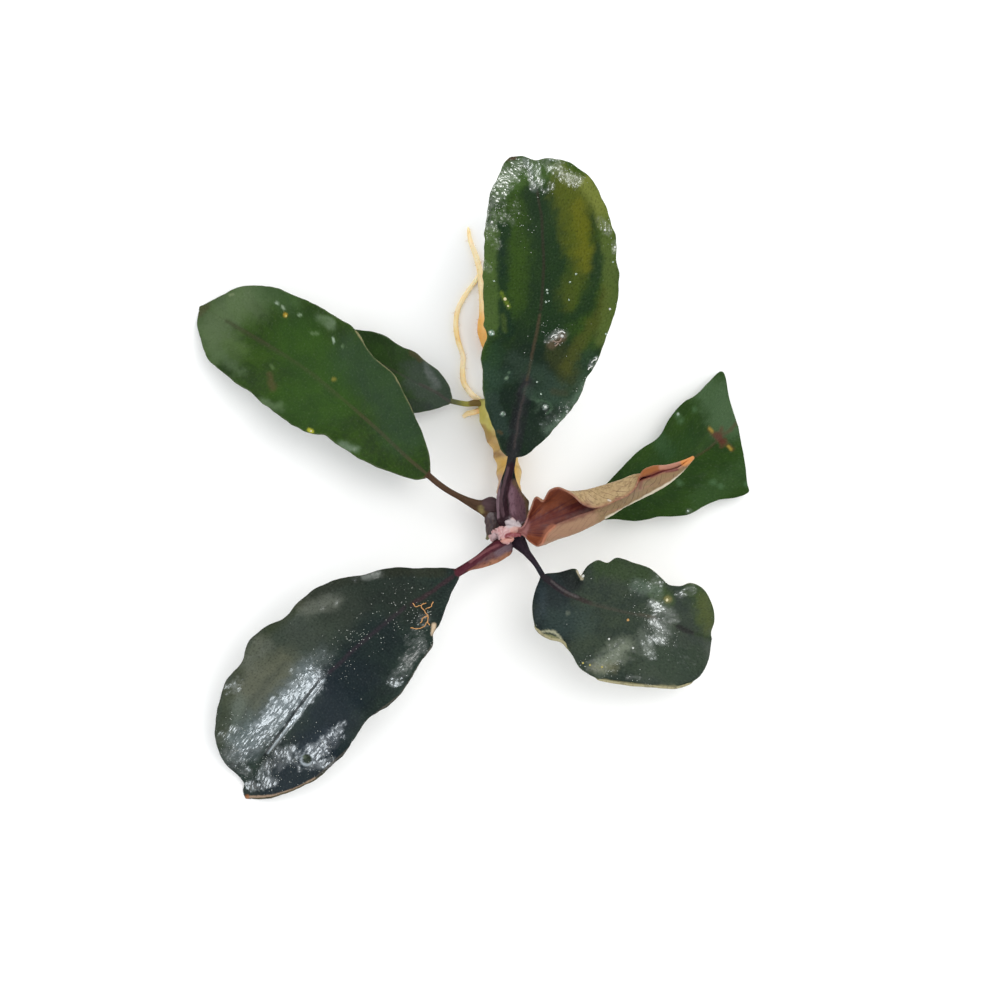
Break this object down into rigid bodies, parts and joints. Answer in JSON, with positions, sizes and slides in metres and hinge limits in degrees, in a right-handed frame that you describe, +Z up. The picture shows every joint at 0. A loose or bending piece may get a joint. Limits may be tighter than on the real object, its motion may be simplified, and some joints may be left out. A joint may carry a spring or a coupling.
{
  "type": "bucephalandra",
  "caption": "Bare-root bucephalandra cutting: glossy wavy leaves on a creeping rhizome with roots, lying ready to be tied or glued to wood or stone.",
  "frame": {"origin": "on the surface that the plant lies on, under the middle of its bounding box", "axes": "+Z up; +Y from the crown back along the rhizome to the roots, the way the large upper leaf points; +X towards the cut leaf"},
  "size_m": [0.0852, 0.096, 0.0293],
  "materials": {
    "upper_leaf_green": "glossy wet green with yellow-green bands",
    "left_leaf_green": "satin mid-green",
    "rear_leaf_green": "satin blackish green",
    "dark_leaf_green": "glossy wrinkled near-black green",
    "grey_leaf_green": "glossy grey-green",
    "right_leaf_green": "satin bright green",
    "young_leaf_red": "matte red-brown inside, tan with brown veins outside",
    "rhizome_bark": "moist yellow-brown, ringed by leaf scars",
    "root": "moist translucent orange-cream",
    "dark_scale": "satin purple-black",
    "papery_scale": "thin translucent pink"
  },
  "bodies": {
    "root": {"upper_leaf": "upper_leaf_green", "left_leaf": "left_leaf_green", "left_rear_leaf": "rear_leaf_green", "lower_left_leaf": "dark_leaf_green", "lower_right_leaf": "grey_leaf_green", "right_leaf": "right_leaf_green", "young_leaf": "young_leaf_red", "rhizome": "rhizome_bark", "main_root": "root", "looping_root": "root", "root_stub": "root", "dark_scale": "dark_scale", "papery_scale": "papery_scale"}
  },
  "joints": []
}
